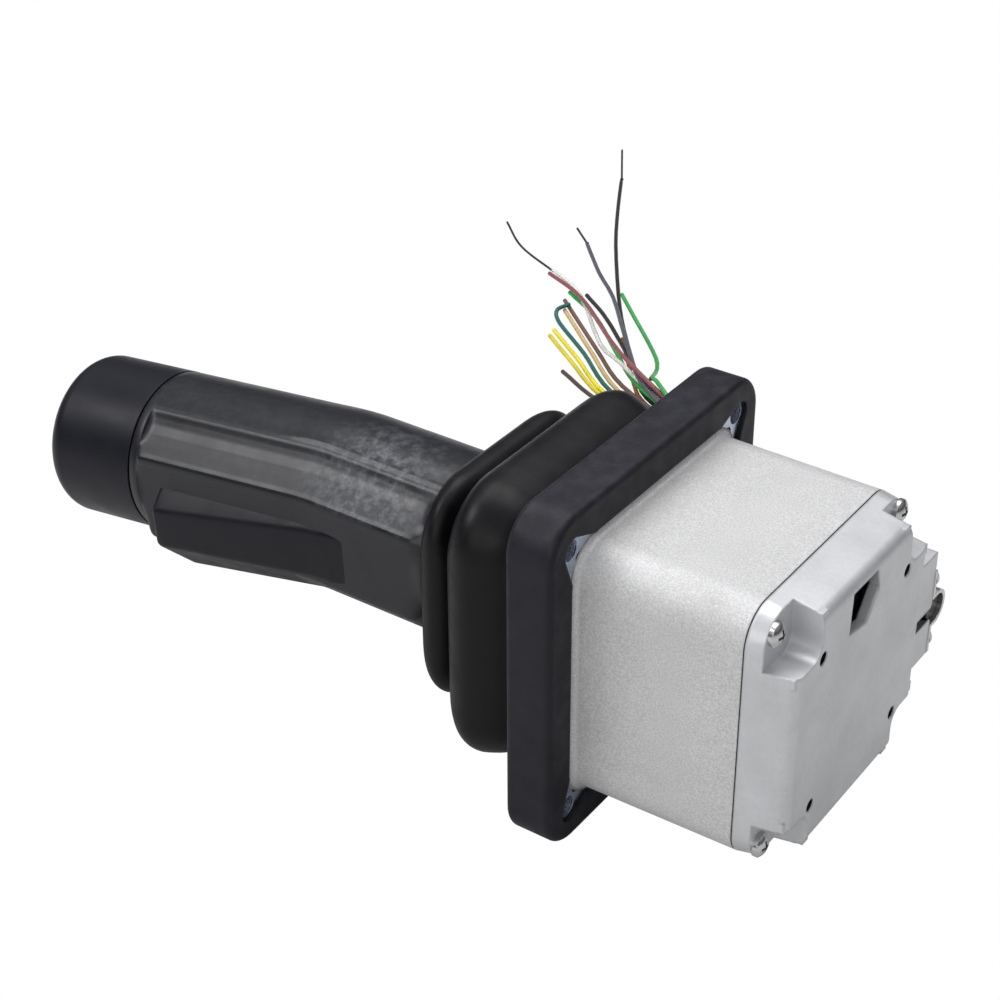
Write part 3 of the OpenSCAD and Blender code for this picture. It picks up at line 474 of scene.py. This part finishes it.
# %% [markdown]
# Trigger: a long wedge with rounded edges. Its section grows from the hinge end to the free end; back, ridge,
# front and flat are the CAD's own distances from the grip's axis.
# %% Trigger
def rounded(points, radius, n=4):
    out = []
    for i, p in enumerate(points):
        p = Vector(p)
        a, b = Vector(points[i - 1]) - p, Vector(points[(i + 1) % len(points)]) - p
        r = min(radius, a.length * 0.45, b.length * 0.45)
        s, e = p + a.normalized() * r, p + b.normalized() * r
        out += [(1 - t) ** 2 * s + 2 * t * (1 - t) * p + t * t * e for t in [k / n for k in range(n + 1)]]
    return out


def trigger_ring(w, back, ridge, front, flat, less):
    h = 16 - less
    pts = [(back + less, -h), (ridge, -h), (front - less, -flat), (front - less, flat), (ridge, h),
           (back + less, h)]
    return [grip_point(p.x, p.y, w, False) for p in rounded(pts, 1.1)]


T_FROM, T_TO = POCKET_FROM + 0.6, POCKET_TO - 1.7


def trigger_shape(w):
    """Back, ridge, front and flat of the section at w, as in the CAD's two hulls."""
    if w < 0:
        t = w / T_FROM
        return 7.5 - 0.9 * t, 14.8 - 0.6 * t, 23.8 + 0.4 * t, 7 - t
    t = w / T_TO
    return 7.5 + 3.4 * t, 14.8 + 4.8 * t, 23.8 + 3 * t, 7 + 1.8 * t


steps = [(T_FROM, 1.3), (T_FROM + 0.1, 0.8), (T_FROM + 0.4, 0.35), (T_FROM + 1.0, 0.05), (T_FROM + 1.4, 0)]
steps += [(w * 1.0, 0) for w in range(-18, 45, 3)]
steps += [(T_TO - 1.4, 0), (T_TO - 1, 0.05), (T_TO - 0.4, 0.35), (T_TO - 0.1, 0.8), (T_TO, 1.3)]
sections = [trigger_ring(w, *trigger_shape(w), less) for w, less in steps]
add("trigger_shell", *loft(sections, False, True), "trigger", ["trigger_lever"], M["trigger"])
print("trigger sections", len(steps))

# %% [markdown]
# Trigger spring: a small coil in its seat.
# %% Trigger spring
SPRING_S, SPRING_U, COIL = POCKET_TO - 13.7, 4.15, 24
PITCH, MEAN_R, WIRE_R = 2.1, 2.4, 0.35
rings = []
for k in range(int(2.5 * COIL) + 1):
    a = 2 * math.pi * k / COIL
    ring = []
    for j in range(8):
        r = MEAN_R + WIRE_R * math.cos(math.pi * j / 4)
        u = SPRING_U + PITCH * k / COIL + WIRE_R * math.sin(math.pi * j / 4)
        ring.append(grip_point(u, r * math.sin(a), SPRING_S + r * math.cos(a), False))
    rings.append(ring)
coil = add("trigger_coil", *loft(rings, False, True), "stick", ["trigger_spring"], M["spring"])
del coil["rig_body"]
coil.parent = None
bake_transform(coil)
print("spring rings", len(rings))

# %% [markdown]
# Cords: the same points as the CAD's routes. One jacketed cable from the saddle, then fourteen cores that
# leave its end and lie on the table. The three long ones end in bare strands.
# %% Cords
JACKET = [mm(*p) for p in [
    (51.4, 40.7, -2.5), (43, 40.7, -2.5), (36, 42.3, -4), (29, 47, -9.3), (21, 55.5, -18), (11, 67, -28),
    (-3, 81, -36.5), (-20, 97, -40.5), (-38, 112, -40.5), (-55, 125.5, -40.5), (-70, 135, -40.5)]]
JACKET_D, CORE_D = 0.007, 0.0014
CORE_Z = -43.3  # height in mm of a core that lies on the table
START = Vector((-70, 135, -40.5))
DIR = Vector((-15, 9.5, 0)).normalized()
SIDE = Vector((-DIR.y, DIR.x, 0))


def out_of_jacket(out, turn):
    a = math.radians(turn)
    return tuple(START + DIR * 0.3 - SIDE * (out * math.cos(a)) + Vector((0, 0, out * math.sin(a))))


CORES = {  # colour, place in the jacket, route, points of bare strand at its end
    "black": ("#15151a", (2.75, 306), [(-91, 147.5, -42.3), (-100, 156.5, -41.8), (-121, 182, -42.3),
        (-137, 204), (-159, 237), (-174, 262), (-187, 285), (-188, 287), (-203, 311)], 1),
    "grey": ("#50505a", (1.1, 90), [(-92, 145.5, -36.3), (-112, 168, -36.05), (-136, 199, -41.8),
        (-152, 215), (-167, 231), (-168, 232.2), (-178, 241)], 1),
    "white": ("#e6e6e2", (1.1, 0), [(-105, 155, -38.05), (-122, 169, -42.05), (-146, 194, -41.55),
        (-164, 206, -42.8), (-165.5, 206.8), (-186, 217), (-202, 231)], 2),
    "pink": ("#8a4a50", (2.75, 54), [(-104, 153, -33.3), (-136, 184, -39.3), (-150, 195, -41.05),
        (-165, 203.5, -42.55)], 0),
    "green": ("#28b04a", (2.75, 342), [(-96, 150, -40.55), (-115, 168, -42.8), (-134, 185.5),
        (-152, 196.5)], 0),
    "dark": ("#2c2624", (2.75, 18), [(-95, 150.5, -37.3), (-115, 170.5, -40.3), (-131, 187),
        (-146, 198)], 0),
    "brown": ("#6e5248", (1.1, 270), [(-101, 149.5, -42.3), (-122, 167), (-150, 190.5)], 0),
    "beige": ("#cdb27a", (2.75, 234), [(-102, 148), (-123, 165), (-146, 184.5)], 0),
    "teal": ("#14625a", (2.75, 126), [(-103, 146), (-124, 162.5), (-142, 175.5),
        (-146.5, 180.5, -41.8), (-145.5, 186.5, -41.8)], 0),
    "yellow_long": ("#e8d81e", (1.1, 180), [(-103, 143.5), (-124, 158.5), (-141, 170.5)], 0),
    "yellow_short": ("#d8c818", (2.75, 162), [(-103, 141.5, -43.05), (-125, 156), (-140, 166.5)], 0),
    "stub": ("#4a3a30", (2.75, 198), [(-103, 139), (-123, 148.5)], 0),
    "orange": ("#a8662c", (2.75, 270), [(-91, 146), (-100, 154.5), (-119, 178)], 0),
    "green_loop": ("#35a04c", (2.75, 90), [(-86, 144.5, -33.3), (-93, 153, -38.8), (-99, 167),
        (-106, 176), (-122, 190.5, -42.05), (-135, 203, -42.05)], 0),
}
run = through(JACKET, 3)
jacket = tube("cable_jacket_curve", run, JACKET_D, "base", M["jacket"], ["cable_jacket"])
for name, (colour, place, route, bare) in CORES.items():
    # extruded PVC insulation in the core's own colour
    pvc = surface("pvc_" + name, colour, 0.36, 0.0, (5, 0.1), (0.4, 0.04), (0.4, 0.004), 0.0, coat=0.2)
    points = [mm(*out_of_jacket(*place))] + [mm(p[0], p[1], p[2] if len(p) > 2 else CORE_Z) for p in route]
    cut = len(points) - bare
    run = through(points[:cut], 3 if len(points) > 6 else 5)
    run = [Vector((p.x, p.y, max(p.z, CORE_Z * 0.001))) for p in run]  # no dip under the table between points
    core = tube("core_" + name, run, CORE_D, "base", pvc, ["wire_" + name])
    tips = []
    if bare:
        strand = through([points[cut - 1]] + points[cut:], 6)
        tips = [tube("strand_" + name, strand, 0.0008, "base", M["copper"])]
print("cords", 1 + len(CORES))

# %% [markdown]
# Stage: a white floor at the part's lowest edge and a white world. To the camera both are plain white. Other
# rays see a pale floor, and glossy ones a room that is dark round the horizon, so that black stays black.
# %% Stage and light
def white_to_camera(tree, seen, real, out):
    path = tree.nodes.new("ShaderNodeLightPath")
    mix = tree.nodes.new("ShaderNodeMixShader")
    tree.links.new(path.outputs["Is Camera Ray"], mix.inputs["Fac"])
    tree.links.new(real.outputs[0], mix.inputs[1])
    tree.links.new(seen.outputs[0], mix.inputs[2])
    tree.links.new(mix.outputs[0], out.inputs["Surface"])


FLOOR_Z = -0.04405
floor_mat = bpy.data.materials.new("white_paper_floor")
floor_mat.use_nodes = True
t = floor_mat.node_tree
plain = t.nodes.new("ShaderNodeEmission")
plain.inputs["Color"].default_value = (1, 1, 1, 1)
t.nodes["Principled BSDF"].inputs["Base Color"].default_value = rgb("#cfcfcf")
t.nodes["Principled BSDF"].inputs["Roughness"].default_value = 0.8
white_to_camera(t, plain, t.nodes["Principled BSDF"], t.nodes["Material Output"])
mesh = bpy.data.meshes.new("floor")
mesh.from_pydata([(-3, -3, FLOOR_Z), (3, -3, FLOOR_Z), (3, 3, FLOOR_Z), (-3, 3, FLOOR_Z)], [], [(0, 1, 2, 3)])
floor = bpy.data.objects.new("floor", mesh)
mesh.materials.append(floor_mat)
bpy.context.collection.objects.link(floor)

world = bpy.data.worlds.new("studio")
bpy.context.scene.world = world
world.use_nodes = True
t = world.node_tree
back = t.nodes["Background"]
back.inputs["Color"].default_value = rgb("#f1f1f3")
back.inputs["Strength"].default_value = 0.55
seen = t.nodes.new("ShaderNodeBackground")
seen.inputs["Color"].default_value = (1, 1, 1, 1)
# what glossy surfaces mirror: a room that is dark round the horizon and bright overhead
sky = t.nodes.new("ShaderNodeSeparateXYZ")
t.links.new(t.nodes.new("ShaderNodeTexCoord").outputs["Generated"], sky.inputs[0])
ramp = t.nodes.new("ShaderNodeMapRange")
for key, value in (("From Min", 0.1), ("From Max", 0.85), ("To Min", 0.07), ("To Max", 1.0)):
    ramp.inputs[key].default_value = value
t.links.new(sky.outputs["Z"], ramp.inputs["Value"])
room = t.nodes.new("ShaderNodeBackground")
room.inputs["Color"].default_value = rgb("#e2e3e9")
t.links.new(ramp.outputs["Result"], room.inputs["Strength"])
kind = t.nodes.new("ShaderNodeLightPath")
other = t.nodes.new("ShaderNodeMixShader")
t.links.new(kind.outputs["Is Glossy Ray"], other.inputs["Fac"])
t.links.new(back.outputs[0], other.inputs[1])
t.links.new(room.outputs[0], other.inputs[2])
white_to_camera(t, seen, other, t.nodes["World Output"])


def lamp(name, place, aim, size, watts, colour="#ffffff"):
    data = bpy.data.lights.new(name, "AREA")
    data.shape, data.size, data.size_y, data.energy = "RECTANGLE", size[0], size[1], watts
    data.color = rgb(colour)[:3]
    obj = bpy.data.objects.new(name, data)
    bpy.context.collection.objects.link(obj)
    obj.location = place
    obj.rotation_euler = (Vector(aim) - Vector(place)).to_track_quat("-Z", "Y").to_euler()


lamp("overhead", (-0.15, 0.25, 0.9), (-0.05, 0, 0), (0.9, 0.6), 6)
lamp("grip_side", (-0.5, -0.42, 0.6), (-0.08, -0.01, 0), (0.42, 0.3), 2.6)
lamp("front", (0.2, -0.9, 0.35), (-0.03, 0, 0), (0.7, 0.5), 2.2)
print("floor at", FLOOR_Z)
